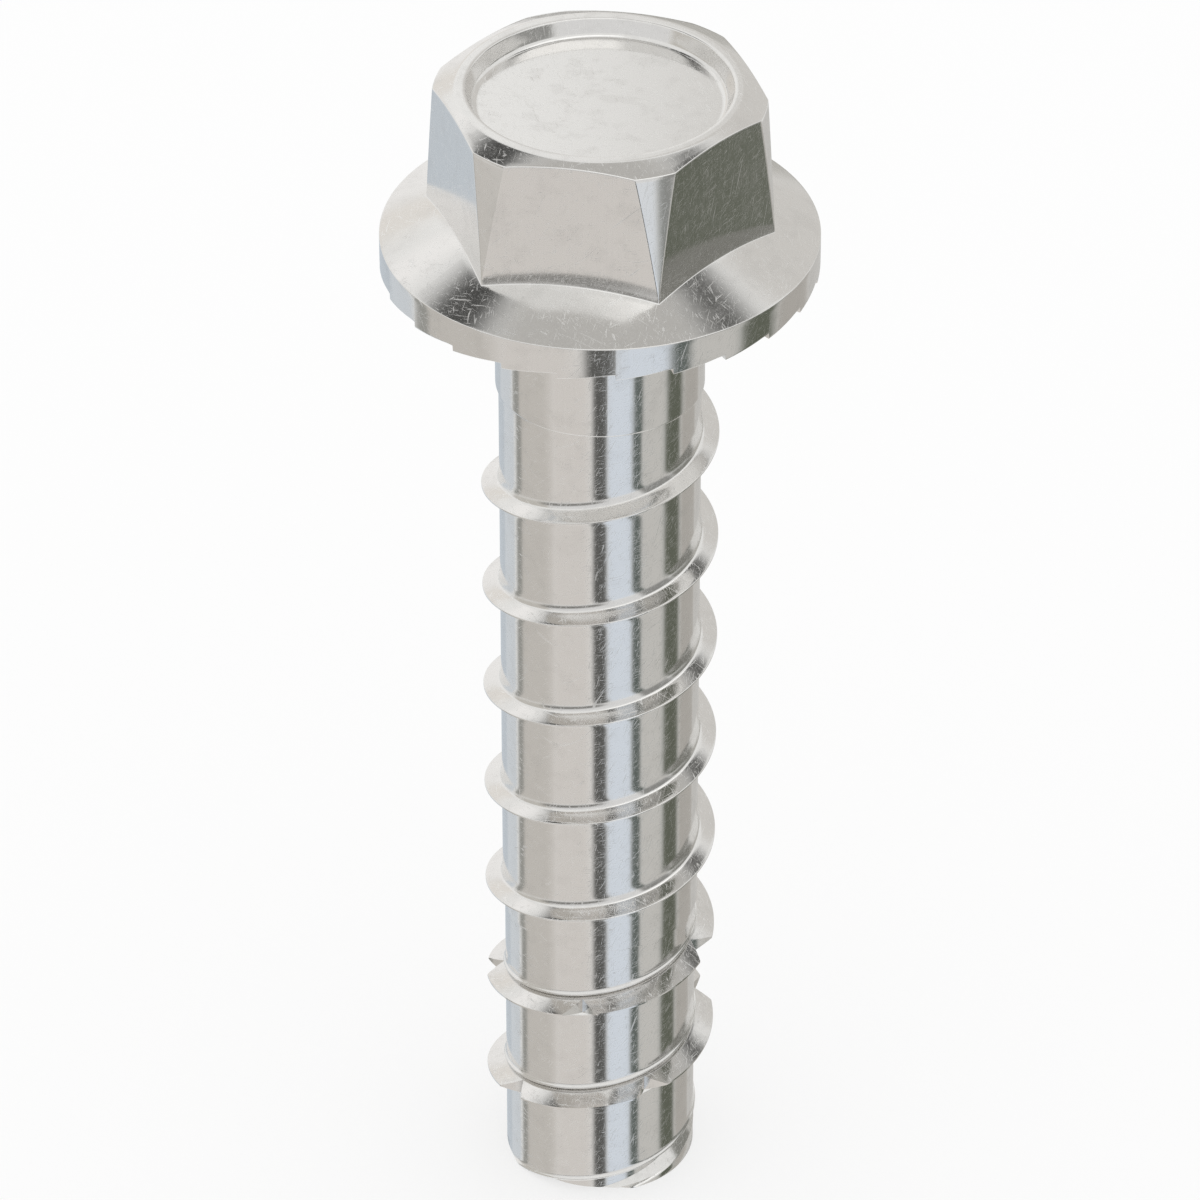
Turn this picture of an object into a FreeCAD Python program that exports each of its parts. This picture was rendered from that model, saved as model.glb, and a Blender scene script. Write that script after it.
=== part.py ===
# Concrete screw: a flanged hexagon head, a plain neck, a shank with a coarse rolled thread, and a
# serrated hardened coil brazed in a helical groove at the tip.
# Millimetres. +Z runs up the screw's axis, the origin is the centre of the flat tip,
# and one corner of the hexagon points along +X.

import FreeCAD
import Part
import math
import os

# Shank and tip
shank_radius = 4.80
core_radius = 4.70
core_top = 15.27
core_step_height = 0.10
tip_chamfer = 0.08

# Neck under the head
neck_radius = 4.95
neck_bottom = 45.67
neck_step_height = 0.10
neck_flare = 0.30

# Flange
underside_height = 52.54
flange_radius = 10.285
rim_thickness = 1.41
flange_slope = 0.44

# Ratchet teeth under the rim, whose steep sides face clockwise as seen from the head
tooth_count = 24
tooth_depth = 0.28
tooth_inner_radius = 7.40

# Hexagon head
across_flats = 14.2875
corner_radius_at_flange = 8.26
corner_radius_at_top = 7.75
corner_relief_height = 7.36
top_chamfer_height = 0.42
rim_outer_radius = 6.70

# Round recess in the top of the head
recess_radius = 6.20
recess_wall_depth = 0.74
recess_wall_draft = 0.26
recess_foot_width = 0.16
recess_foot_depth = 0.12

# Thread geometry that the rolled thread and the coil share
pitch = 5.853
crest_height_at_x = 1.65
crest_radius = 5.66
crest_width = 0.08

# Rolled thread
thread_base_width = 0.72
thread_start_turn = 2.36
thread_end_turn = 7.364
thread_start_fade = 0.55
thread_end_fade = 1.00

# Serrated coil and its groove
groove_depth = 0.45
groove_width = 1.30
groove_floor_width = 0.90
groove_start_turn = -0.60
groove_end_turn = 2.205
coil_setback = 0.02
coil_fit_clearance = 0.004
coil_shoulder_height = 0.08
coil_shoulder_below = 0.42
coil_root_above = 0.36
coil_foot_above = 0.30
coil_crest_offset = 0.04
tail_radius = 4.72
tail_top = 1.90
tail_ramp_length = 2.80
tail_taper_start = -1.366
tail_taper_lead = 2.60
tail_taper_turns = 1.10
tail_bevel_drop = 0.62

# Notches along the crest of the coil
notch_count = 7
notch_spacing = 80.5
first_notch_angle = 228.0
notch_half_angle = 44.0
notch_depth = 0.90

# Working overlaps, deep enough that pieces join without a shared face
root_overlap = 0.40
cut_overlap = 0.60

# Worked-out heights
flange_edge_height = underside_height + rim_thickness
hex_corner_height = flange_edge_height + (flange_radius - corner_radius_at_flange) * flange_slope
corner_relief_top = flange_edge_height + corner_relief_height
head_top = corner_relief_top + top_chamfer_height


def vector(x, y, z):
    return FreeCAD.Vector(x, y, z)


def revolve(points):
    """A closed outline of (radius, height) points turned once about the screw's axis."""
    corners = [vector(radius, 0, height) for radius, height in points]
    wire = Part.makePolygon(corners + [corners[0]])
    return Part.Face(wire).revolve(vector(0, 0, 0), vector(0, 0, 1), 360)


def crest_height(turn):
    """Height of the thread's crest after a number of turns from the +X side of the tip."""
    return crest_height_at_x + pitch * turn


def helical_ridge(points, start_turn, end_turn, lead=pitch):
    """A (radius, height from the crest) outline carried up a helix about the screw's axis."""
    turns = end_turn - start_turn
    helix = Part.makeHelix(lead, lead * turns, crest_radius)
    corners = [vector(radius, 0, height) for radius, height in points]
    outline = Part.makePolygon(corners + [corners[0]])
    ridge = Part.Wire(helix).makePipeShell([outline], True, True)
    ridge.rotate(vector(0, 0, 0), vector(0, 0, 1), 360 * start_turn)
    ridge.translate(vector(0, 0, crest_height(start_turn)))
    return ridge


def coil_groove():
    """The helical groove in the core, which runs out through the flat end of the tip."""
    floor = core_radius - groove_depth
    half_floor = groove_floor_width / 2
    half_mouth = groove_width / 2
    widening = (half_mouth - half_floor) / groove_depth
    beyond = core_radius + cut_overlap
    half_beyond = half_mouth + widening * cut_overlap
    return helical_ridge([
        (floor, -half_floor),
        (beyond, -half_beyond),
        (beyond, half_beyond),
        (floor, half_floor),
    ], groove_start_turn, groove_end_turn)


def grooved_core():
    """The thinner core at the tip, with the edge of its flat end broken and the coil's groove cut."""
    core = revolve([
        (0, 0),
        (core_radius - tip_chamfer, 0),
        (core_radius, tip_chamfer),
        (core_radius, core_top),
        (0, core_top),
    ])
    return core.cut(coil_groove())


def turned_shank():
    """Shank, neck and flange as one turned body, with the flange's cone under the head."""
    flange_peak = flange_edge_height + flange_radius * flange_slope
    return revolve([
        (0, core_top),
        (core_radius, core_top),
        (shank_radius, core_top + core_step_height),
        (shank_radius, neck_bottom - neck_step_height),
        (neck_radius, neck_bottom),
        (neck_radius, underside_height - neck_flare),
        (neck_radius + neck_flare, underside_height),
        (flange_radius, underside_height),
        (flange_radius, flange_edge_height),
        (0, flange_peak),
    ])


def ratchet_tooth():
    """One tooth: steepest at its own angle, sloping back to nothing at the next tooth."""
    reach = flange_radius + cut_overlap
    drop = tooth_depth * (reach - tooth_inner_radius) / (flange_radius - tooth_inner_radius)
    step = math.radians(360.0 / tooth_count)
    base = underside_height + tooth_depth
    inner = vector(tooth_inner_radius, 0, underside_height)
    inner_top = vector(tooth_inner_radius, 0, base)
    outer = vector(reach, 0, underside_height - drop)
    outer_top = vector(reach, 0, base)
    next_outer = vector(reach * math.cos(step), reach * math.sin(step), underside_height)
    next_top = vector(next_outer.x, next_outer.y, base)
    faces = [
        [inner, outer, outer_top, inner_top],
        [inner, next_outer, outer],
        [inner, inner_top, next_top, next_outer],
        [inner_top, outer_top, next_top],
        [outer, next_outer, next_top, outer_top],
    ]
    shell = Part.Shell([Part.Face(Part.makePolygon(corners + [corners[0]])) for corners in faces])
    return Part.Solid(shell)


def ratchet_teeth():
    rim = Part.makeCylinder(flange_radius, rim_thickness + tooth_depth,
                            vector(0, 0, underside_height - tooth_depth))
    tooth = ratchet_tooth()
    teeth = []
    for index in range(tooth_count):
        copy = tooth.copy()
        copy.rotate(vector(0, 0, 0), vector(0, 0, 1), 360.0 * index / tooth_count)
        teeth.append(copy)
    return teeth[0].fuse(teeth[1:]).common(rim)


def hexagon_head():
    """Hexagon prism whose corners are relieved by a steep cone and whose top is chamfered."""
    corner_reach = across_flats / math.sqrt(3)
    corners = [vector(corner_reach * math.cos(math.radians(60 * side)),
                      corner_reach * math.sin(math.radians(60 * side)),
                      flange_edge_height)
               for side in range(6)]
    outline = Part.Face(Part.makePolygon(corners + [corners[0]]))
    prism = outline.extrude(vector(0, 0, head_top - flange_edge_height))
    envelope = revolve([
        (0, flange_edge_height),
        (corner_radius_at_flange, flange_edge_height),
        (corner_radius_at_flange, hex_corner_height),
        (corner_radius_at_top, corner_relief_top),
        (rim_outer_radius, head_top),
        (0, head_top),
    ])
    return prism.common(envelope)


def head_recess():
    """Shallow round recess with a sloping wall, a small bevel at the wall's foot and a flat floor."""
    wall_foot_radius = recess_radius - recess_wall_draft
    wall_foot = head_top - recess_wall_depth
    floor_edge_radius = wall_foot_radius - recess_foot_width
    floor_height = wall_foot - recess_foot_depth
    rise = cut_overlap
    return revolve([
        (0, head_top + rise),
        (recess_radius, head_top + rise),
        (recess_radius, head_top),
        (wall_foot_radius, wall_foot),
        (floor_edge_radius, floor_height),
        (0, floor_height),
    ])


def fade_ring(end_height, fade_length):
    """Ring that cuts a thread back along a cone, from nothing at its end to full height.
    A positive fade length leaves the full thread above the end, a negative one below it."""
    slope = fade_length / (crest_radius - shank_radius)
    inside = shank_radius - root_overlap
    beyond = crest_radius + cut_overlap
    away = end_height - math.copysign(pitch, fade_length)
    return revolve([
        (inside, away),
        (beyond, away),
        (beyond, end_height + slope * (beyond - shank_radius)),
        (inside, end_height + slope * (inside - shank_radius)),
    ])


def rolled_thread():
    """The coarse thread of the upper shank, faded out at both ends."""
    half_crest = crest_width / 2
    half_base = thread_base_width / 2
    slope = (half_base - half_crest) / (crest_radius - shank_radius)
    sunk = shank_radius - root_overlap
    half_sunk = half_base + slope * root_overlap
    ridge = helical_ridge([
        (sunk, -half_sunk),
        (crest_radius, -half_crest),
        (crest_radius, half_crest),
        (sunk, half_sunk),
    ], thread_start_turn, thread_end_turn)
    bottom = crest_height(thread_start_turn)
    top = crest_height(thread_end_turn)
    return ridge.cut([fade_ring(bottom, thread_start_fade), fade_ring(top, -thread_end_fade)])


def coil_strip():
    """The strip's section: its foot rests on the groove's floor and lower side."""
    floor = core_radius - groove_depth + coil_fit_clearance
    shoulder = core_radius + coil_shoulder_height
    crest_bottom = coil_crest_offset - crest_width / 2
    crest_top = coil_crest_offset + crest_width / 2
    end_gap = coil_fit_clearance / pitch
    return helical_ridge([
        (floor, coil_fit_clearance - groove_floor_width / 2),
        (core_radius, coil_fit_clearance - groove_width / 2),
        (shoulder, -coil_shoulder_below),
        (crest_radius, crest_bottom),
        (crest_radius, crest_top),
        (core_radius, coil_root_above),
        (floor, coil_foot_above),
    ], groove_start_turn, groove_end_turn - end_gap)


def tail_grinding():
    """Ring that grinds the coil's tail down to a low bead, and up a cone to the full crest."""
    slope = tail_ramp_length / (crest_radius - tail_radius)
    below = crest_height(groove_start_turn) - pitch
    beyond = crest_radius + cut_overlap
    return revolve([
        (tail_radius, below),
        (beyond, below),
        (beyond, tail_top + slope * (beyond - tail_radius)),
        (tail_radius, tail_top),
    ])


def below_the_tip():
    """Slab that trims the coil just above the flat end."""
    depth = coil_setback - crest_height(groove_start_turn) + pitch
    return Part.makeCylinder(crest_radius + cut_overlap, depth, vector(0, 0, coil_setback - depth))


def tail_taper():
    """Cutter that narrows the coil's tail from above, on a helix steeper than the thread's. Its lower
    side slopes down from the groove's floor to the core, so the tail runs out flush with the core."""
    floor = core_radius - groove_depth
    inside = floor - cut_overlap
    beyond = crest_radius + cut_overlap
    return helical_ridge([
        (inside, tail_taper_start),
        (floor, tail_taper_start),
        (core_radius, tail_taper_start - tail_bevel_drop),
        (beyond, tail_taper_start - tail_bevel_drop),
        (beyond, tail_taper_start + 2 * groove_width),
        (inside, tail_taper_start + 2 * groove_width),
    ], groove_start_turn, groove_start_turn + tail_taper_turns, pitch + tail_taper_lead)


def notch_cutter():
    """A V-shaped prism with its edge square to the thread, pointing at the axis from +X."""
    floor = crest_radius - notch_depth
    reach = notch_depth + cut_overlap
    spread = reach * math.tan(math.radians(notch_half_angle))
    half_length = groove_width
    corners = [
        vector(floor, 0, -half_length),
        vector(floor + reach, -spread, -half_length),
        vector(floor + reach, spread, -half_length),
    ]
    prism = Part.Face(Part.makePolygon(corners + [corners[0]])).extrude(vector(0, 0, 2 * half_length))
    lead_angle = math.degrees(math.atan2(pitch, 2 * math.pi * crest_radius))
    prism.rotate(vector(0, 0, 0), vector(1, 0, 0), lead_angle)
    return prism


def crest_notches():
    cutters = []
    for index in range(notch_count):
        angle = first_notch_angle + notch_spacing * index
        cutter = notch_cutter()
        cutter.rotate(vector(0, 0, 0), vector(0, 0, 1), angle)
        cutter.translate(vector(0, 0, crest_height(angle / 360)))
        cutters.append(cutter)
    return cutters


def cutting_thread():
    """The serrated coil brazed in the groove."""
    coil = coil_strip().cut(below_the_tip()).cut(tail_taper())
    return coil.cut([tail_grinding()] + crest_notches())


def screw_body():
    body = turned_shank().fuse([grooved_core(), hexagon_head(), ratchet_teeth()])
    body = body.cut(head_recess())
    return body.fuse(rolled_thread())


def save(name, shape):
    print(name, "solids", len(shape.Solids), "valid", shape.isValid(), "volume", round(shape.Volume, 3))
    shape.Solids[0].exportStep(os.path.join("parts", name + ".step"))


os.makedirs("parts", exist_ok=True)
save("screw_body", screw_body())
save("cutting_thread", cutting_thread())
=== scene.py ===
# %% [markdown]
# # A concrete screw, dressed in Blender
#
# The object is a screw that cuts its own thread in concrete. It is two pieces of steel: a cold-formed
# body with a flanged hexagon head, a plain neck and a high coarse thread, and a serrated hardened coil
# that is brazed in a groove near the tip. This lesson makes both as surfaces worked out with numpy,
# gives them a scratched bright-steel finish, and photographs them in a plain white light tent.
#
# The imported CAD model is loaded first. It fixes the size and place of everything that follows.

# %% Load the frame
import math

import bmesh
import bpy
import numpy as np
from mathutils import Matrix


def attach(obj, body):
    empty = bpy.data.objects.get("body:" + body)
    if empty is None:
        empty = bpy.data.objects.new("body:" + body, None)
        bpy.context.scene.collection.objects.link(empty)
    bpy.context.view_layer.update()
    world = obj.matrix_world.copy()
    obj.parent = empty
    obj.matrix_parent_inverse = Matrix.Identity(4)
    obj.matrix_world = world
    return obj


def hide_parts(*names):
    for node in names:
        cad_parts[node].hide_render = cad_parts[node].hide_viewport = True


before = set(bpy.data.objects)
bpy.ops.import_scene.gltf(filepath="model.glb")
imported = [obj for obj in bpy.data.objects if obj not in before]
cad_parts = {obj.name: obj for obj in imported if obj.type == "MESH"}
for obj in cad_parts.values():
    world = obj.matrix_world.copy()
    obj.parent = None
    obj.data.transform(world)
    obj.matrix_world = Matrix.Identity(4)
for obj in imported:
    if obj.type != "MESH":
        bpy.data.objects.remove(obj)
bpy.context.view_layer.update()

# %% [markdown]
# ## From arrays to a mesh
#
# Lengths below are in millimetres, as on a maker's drawing, and become metres when a mesh is made.
# Every piece is a grid of points: rows run along a profile and columns run round the screw. Where the
# grid is folded onto one line or point, such as at a pole or the rim of a flat end, the doubled points
# are merged, so each piece is one closed skin. Edges that turn by more than a set angle stay crisp, and
# all others are shaded smooth.

# %% Helpers that make a mesh
MM = 0.001
WELD = 2e-7
CRISP_ANGLE = math.radians(32)


def grid_quads(rows, columns, closed):
    """Corner numbers of the quads of a grid; a closed grid joins its last column to its first."""
    last = columns if closed else columns - 1
    row = np.arange(rows - 1)[:, None]
    column = np.arange(last)[None, :]
    beside = (column + 1) % columns
    corners = [row * columns + column, row * columns + beside,
               (row + 1) * columns + beside, (row + 1) * columns + column]
    return np.stack([np.broadcast_to(c, (rows - 1, last)) for c in corners], axis=-1).reshape(-1, 4)


def join_grids(parts):
    """Several (points, quads) grids as one."""
    points, quads, start = [], [], 0
    for part_points, part_quads in parts:
        points.append(part_points)
        quads.append(part_quads + start)
        start += len(part_points)
    return np.concatenate(points), np.concatenate(quads)


def flipped(part):
    """The same grid with its quads facing the other way."""
    points, quads = part
    return points, quads[:, ::-1]


def solid_volume(mesh):
    """Sum over the triangles of a sixth of the triple product of their corners."""
    mesh.calc_loop_triangles()
    points = np.zeros(len(mesh.vertices) * 3)
    mesh.vertices.foreach_get("co", points)
    corners = np.zeros(len(mesh.loop_triangles) * 3, dtype=np.int64)
    mesh.loop_triangles.foreach_get("vertices", corners)
    a, b, c = points.reshape(-1, 3)[corners.reshape(-1, 3)].transpose(1, 0, 2)
    return float(np.sum(a * np.cross(b, c)) / 6)


def make_piece(name, points, quads, node, material):
    """One closed skin from points in millimetres and quads, standing in for a CAD node."""
    mesh = bpy.data.meshes.new(name)
    mesh.vertices.add(len(points))
    mesh.vertices.foreach_set("co", (points * MM).astype(np.float32).ravel())
    mesh.loops.add(quads.size)
    mesh.loops.foreach_set("vertex_index", quads.astype(np.int32).ravel())
    mesh.polygons.add(len(quads))
    mesh.polygons.foreach_set("loop_start", np.arange(0, quads.size, 4, dtype=np.int32))
    mesh.update(calc_edges=True)
    work = bmesh.new()
    work.from_mesh(mesh)
    bmesh.ops.remove_doubles(work, verts=work.verts, dist=WELD)
    bmesh.ops.dissolve_degenerate(work, edges=work.edges, dist=WELD)
    open_edges = sum(1 for edge in work.edges if edge.is_boundary)
    odd_edges = sum(1 for edge in work.edges if not edge.is_manifold)
    work.to_mesh(mesh)
    work.free()
    if solid_volume(mesh) < 0:
        mesh.flip_normals()
    mesh.shade_smooth()
    mesh.set_sharp_from_angle(angle=CRISP_ANGLE)
    mesh.materials.append(material)
    piece = bpy.data.objects.new(name, mesh)
    bpy.context.scene.collection.objects.link(piece)
    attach(piece, "root")
    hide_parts(node)
    print(name, "faces", len(mesh.polygons), "open edges", open_edges, "odd edges", odd_edges,
          "volume in mm3", round(solid_volume(mesh) / MM**3, 2))


def smooth_min(a, b, blend):
    """The smaller of two heights, with the crease between them rounded over the blend distance."""
    near = np.maximum(blend - np.abs(a - b), 0) / blend
    return np.minimum(a, b) - near**2 * blend / 4


def smooth_max(a, b, blend):
    """The larger of two heights, with the crease between them filled over the blend distance."""
    return -smooth_min(-a, -b, blend)


def on_axis(radius, angle, height):
    """Points at a radius from the screw's axis, an angle in degrees and a height."""
    turn = np.radians(angle)
    return np.stack([radius * np.cos(turn), radius * np.sin(turn), height], axis=-1)


print("points closer than", WELD / MM, "mm are merged, and edges that turn by more than",
      round(math.degrees(CRISP_ANGLE)), "degrees stay crisp")

# %% [markdown]
# ## Steel
#
# The real body is bright stainless steel that tumbled in a barrel with many others. Where it mirrors
# something bright it looks clean, and where it mirrors something dark, a web of hairline scratches and
# a fine grain sparkle, because they scatter light from all round. So a scratch is above all a change
# in roughness. It also gets a slightly brighter colour, which makes up for what a rough line loses
# where the steel beside it mirrors a bright band.
#
# A noise that is squeezed in one direction makes thin flat sheets in space, and where such sheets cut a
# surface they leave short straight lines, on any side of the piece. A few families of sheets, each
# turned another way, together look like years of random knocks.

# %% Steel materials
class Nodes:
    """A few short ways to add nodes to a material and join them."""

    def __init__(self, name):
        self.material = bpy.data.materials.new(name)
        self.material.use_nodes = True
        self.tree = self.material.node_tree
        self.shader = self.tree.nodes["Principled BSDF"]
        coordinates = self.tree.nodes.new("ShaderNodeTexCoord")
        self.place = coordinates.outputs["Object"]

    def join(self, source, socket):
        """A link from an output to an input."""
        self.tree.links.new(source, socket)

    def mapped(self, size, turn=(0, 0, 0), shift=0.0):
        """Object coordinates moved by a shift in mm, turned, in degrees, and then divided so that one
        unit is the size in mm, which may differ along the turned x, y and z."""
        node = self.tree.nodes.new("ShaderNodeMapping")
        node.vector_type = "TEXTURE"
        sizes = size if isinstance(size, tuple) else (size,) * 3
        node.inputs["Scale"].default_value = [side * MM for side in sizes]
        node.inputs["Rotation"].default_value = [math.radians(a) for a in turn]
        node.inputs["Location"].default_value = (shift * MM, shift * MM, shift * MM)
        self.join(self.place, node.inputs["Vector"])
        return node.outputs["Vector"]

    def noise(self, vector, detail=2.0, roughness=0.5):
        """Soft noise between nothing and one, with about one lump to each unit of the vector."""
        node = self.tree.nodes.new("ShaderNodeTexNoise")
        node.inputs["Scale"].default_value = 1.0
        node.inputs["Detail"].default_value = detail
        node.inputs["Roughness"].default_value = roughness
        self.join(vector, node.inputs["Vector"])
        return node.outputs["Fac"]

    def ranged(self, value, low, high, to_low=0.0, to_high=1.0):
        """A value between low and high spread over a new range, and held at its ends."""
        node = self.tree.nodes.new("ShaderNodeMapRange")
        node.clamp = True
        ends = {"From Min": low, "From Max": high, "To Min": to_low, "To Max": to_high}
        for socket, number in ends.items():
            node.inputs[socket].default_value = number
        self.join(value, node.inputs["Value"])
        return node.outputs["Result"]

    def math(self, operation, *values):
        """Arithmetic with plain numbers and outputs of other nodes."""
        node = self.tree.nodes.new("ShaderNodeMath")
        node.operation = operation
        for index, value in enumerate(values):
            if isinstance(value, (int, float)):
                node.inputs[index].default_value = value
            else:
                self.join(value, node.inputs[index])
        return node.outputs["Value"]

    def mixed(self, factor, first, second):
        """Two colours mixed by a factor; the first may come from another node."""
        node = self.tree.nodes.new("ShaderNodeMix")
        node.data_type = "RGBA"
        first_socket, second_socket = [s for s in node.inputs if s.type == "RGBA"]
        if isinstance(first, tuple):
            first_socket.default_value = first
        else:
            self.join(first, first_socket)
        second_socket.default_value = second
        self.join(factor, node.inputs["Factor"])
        return next(s for s in node.outputs if s.type == "RGBA")

    def bump(self, height, depth, normal=None):
        """A bump whose full height is the given depth in millimetres."""
        node = self.tree.nodes.new("ShaderNodeBump")
        node.inputs["Strength"].default_value = 1.0
        node.inputs["Distance"].default_value = depth * MM
        self.join(height, node.inputs["Height"])
        if normal is not None:
            self.join(normal, node.inputs["Normal"])
        return node.outputs["Normal"]


SCRATCH_COLOUR = (0.87, 0.865, 0.855, 1.0)
SCRATCH_EDGE = 0.05
FAMILY_SHIFT = 3.7
# Turn about each axis in degrees, thickness and length in mm, and the noise level that leaves a scratch.
SCRATCHES = [
    ((20, 35, 10), 0.026, 0.9, 0.735),
    ((75, 10, 55), 0.030, 0.5, 0.735),
    ((40, 80, 25), 0.025, 1.0, 0.735),
    ((10, 60, 80), 0.030, 0.4, 0.735),
    ((65, 50, 35), 0.027, 0.6, 0.735),
    ((15, 10, 50), 0.028, 0.5, 0.735),
    ((35, 15, 75), 0.050, 2.0, 0.755),
]

# Sizes in mm. Levels are the noise values between which a mark goes from nothing to full.
GRAIN_SIZE = 0.06
SPECK_LEVELS = (0.56, 0.72)
SPECK_SHARE = 0.6
STAIN_LEVELS = (0.50, 0.62)
STAIN_SHARE = 0.35
DRAW_SIZE = (0.09, 0.09, 5.0)
DRAW_LEVELS = (0.45, 0.65)
DRAW_ROUGHENS = 0.10
DRAW_DARKENS = 0.5
HOLLOW_SIZE = 1.4


def scratch_lines(nodes, wear):
    """The strongest of several families of scratches. A family is a noise squeezed in one direction, so
    that its peaks are thin sheets, cut off at a level that wear lowers."""
    lines = None
    for index, (turn, thick, long, level) in enumerate(SCRATCHES):
        sheets = nodes.noise(nodes.mapped((thick, long, long), turn, FAMILY_SHIFT * index), detail=0.0)
        family = nodes.ranged(sheets, level - wear, level - wear + SCRATCH_EDGE)
        lines = family if lines is None else nodes.math("MAXIMUM", lines, family)
    return lines


def steel(name, colour, smooth, scratched, wear, stain, stain_size, grain_depth, hollow_depth, drawn):
    """Bright steel. Smooth and scratched are the roughness beside and in a scratch, wear above nothing
    leaves more scratches and below nothing fewer, a stain darkens and roughens patches of its size,
    depths are in mm, and drawn is the strength of upright draw lines."""
    nodes = Nodes(name)
    shader = nodes.shader
    shader.inputs["Metallic"].default_value = 1.0
    lines = scratch_lines(nodes, wear)
    grain = nodes.noise(nodes.mapped(GRAIN_SIZE), roughness=0.6)
    specks = nodes.ranged(grain, *SPECK_LEVELS)
    clouds = nodes.noise(nodes.mapped(stain_size), detail=4.0, roughness=0.65)
    blotches = nodes.ranged(clouds, *STAIN_LEVELS)
    draw = nodes.noise(nodes.mapped(DRAW_SIZE))

    rubbed = nodes.math("MAXIMUM", lines, nodes.math("MULTIPLY", specks, SPECK_SHARE))
    rough = nodes.math("MULTIPLY_ADD", rubbed, scratched - smooth, smooth)
    rough = nodes.math("ADD", rough, nodes.math("MULTIPLY", blotches, STAIN_SHARE * stain))
    rough = nodes.math("ADD", rough, nodes.ranged(draw, *DRAW_LEVELS, 0.0, DRAW_ROUGHENS * drawn))
    nodes.join(rough, shader.inputs["Roughness"])

    worn = tuple(channel * (1 - STAIN_SHARE * stain) for channel in colour[:3]) + (1.0,)
    tint = nodes.math("MAXIMUM", blotches, nodes.ranged(draw, *DRAW_LEVELS, 0.0, DRAW_DARKENS * drawn))
    base = nodes.mixed(rubbed, colour, SCRATCH_COLOUR)
    nodes.join(nodes.mixed(tint, base, worn), shader.inputs["Base Color"])

    hollows = nodes.noise(nodes.mapped(HOLLOW_SIZE), detail=1.0)
    shape = nodes.bump(hollows, hollow_depth)
    shape = nodes.bump(grain, grain_depth, shape)
    nodes.join(shape, shader.inputs["Normal"])
    return nodes.material


STEEL_COLOUR = (0.80, 0.79, 0.775, 1.0)
COIL_COLOUR = (0.79, 0.78, 0.765, 1.0)
body_steel = steel("body_steel", STEEL_COLOUR, smooth=0.095, scratched=0.34, wear=-0.004, stain=0.06,
                   stain_size=0.9, grain_depth=0.00010, hollow_depth=0.0008, drawn=0.1)
head_steel = steel("head_steel", STEEL_COLOUR, smooth=0.100, scratched=0.32, wear=-0.016, stain=0.10,
                   stain_size=1.1, grain_depth=0.00012, hollow_depth=0.0012, drawn=0.25)
coil_steel = steel("coil_steel", COIL_COLOUR, smooth=0.100, scratched=0.34, wear=-0.006, stain=0.12,
                   stain_size=0.35, grain_depth=0.00018, hollow_depth=0.0008, drawn=0.0)
print("steels:", body_steel.name, head_steel.name, coil_steel.name)

# %% [markdown]
# ## The thread's helix
#
# The rolled thread and the coil follow one right-handed helix. A point on the screw belongs to the
# nearest turn of it, and its distance from that turn's crest, measured along the axis, says how high
# the thread stands there. Because of that, the whole threaded shank can be one surface: its radius is a
# plain function of angle and height.

# %% Helix
PITCH = 5.853
CREST_HEIGHT_AT_X = 1.65
CREST_RADIUS = 5.66
COLUMNS_PER_TURN = 240
STRIP_OVERRUN = 0.52


def crest_height(turn):
    """Height of the crest, which starts at its height over +X and gains one pitch a turn."""
    return CREST_HEIGHT_AT_X + PITCH * turn


def helix_skin(radius_of, offsets, bottom, top):
    """Grid on a strip that winds round the screw between two heights.
    Each column is one angle, its rows are set distances from the crest, and a row past either end
    is held at that end, where the doubled points merge later. The strip starts and stops a little
    over half a turn outside the two heights, so that it covers both ends all round."""
    first = (bottom - CREST_HEIGHT_AT_X) / PITCH - STRIP_OVERRUN
    last = (top - CREST_HEIGHT_AT_X) / PITCH + STRIP_OVERRUN
    steps = np.arange(math.floor(first * COLUMNS_PER_TURN), math.ceil(last * COLUMNS_PER_TURN) + 1)
    turn = (steps / COLUMNS_PER_TURN)[None, :]
    height = np.clip(crest_height(turn) + offsets[:, None], bottom, top)
    radius = radius_of(turn, height - crest_height(turn), height)
    angle = np.broadcast_to(360.0 * turn, height.shape)
    quads = grid_quads(len(offsets), turn.size, False)
    return on_axis(radius, angle, height).reshape(-1, 3), quads


def end_rings(radius_of, height, rings):
    """Rings that close a threaded skin at one height. Each ring is given as (share of radius, largest
    radius, height change), and the first of them lies on the skin's own edge."""
    column = np.arange(COLUMNS_PER_TURN)
    angle = 360.0 * column / COLUMNS_PER_TURN
    base_turn = column / COLUMNS_PER_TURN
    turn = base_turn + np.round((height - CREST_HEIGHT_AT_X) / PITCH - base_turn)
    radius = radius_of(turn, height - crest_height(turn), np.full(turn.shape, height))
    points = [on_axis(np.minimum(radius, largest) * share, angle, np.full(angle.shape, height + rise))
              for share, largest, rise in rings]
    return np.concatenate(points), grid_quads(len(rings), COLUMNS_PER_TURN, True)


def mirrored(offsets):
    """Offsets on both sides of the crest, from the middle of the gap below to the gap above."""
    half = np.array(offsets + [PITCH / 2])
    return np.concatenate([-half[::-1], half[1:]])


print("crest over +X at", [round(crest_height(turn), 3) for turn in range(8)], "mm")

# %% [markdown]
# ## Shank and rolled thread
#
# The thread is rolled up out of the shank, so its flanks run into the shank with a soft hollow curve
# and its crest is a narrow rounded flat. The ridge is the lower of two heights, the crest and a
# straight flank, with the creases rounded. A low skirt at its foot makes the hollow curve. At both ends
# the ridge sinks into the shank.

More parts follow.
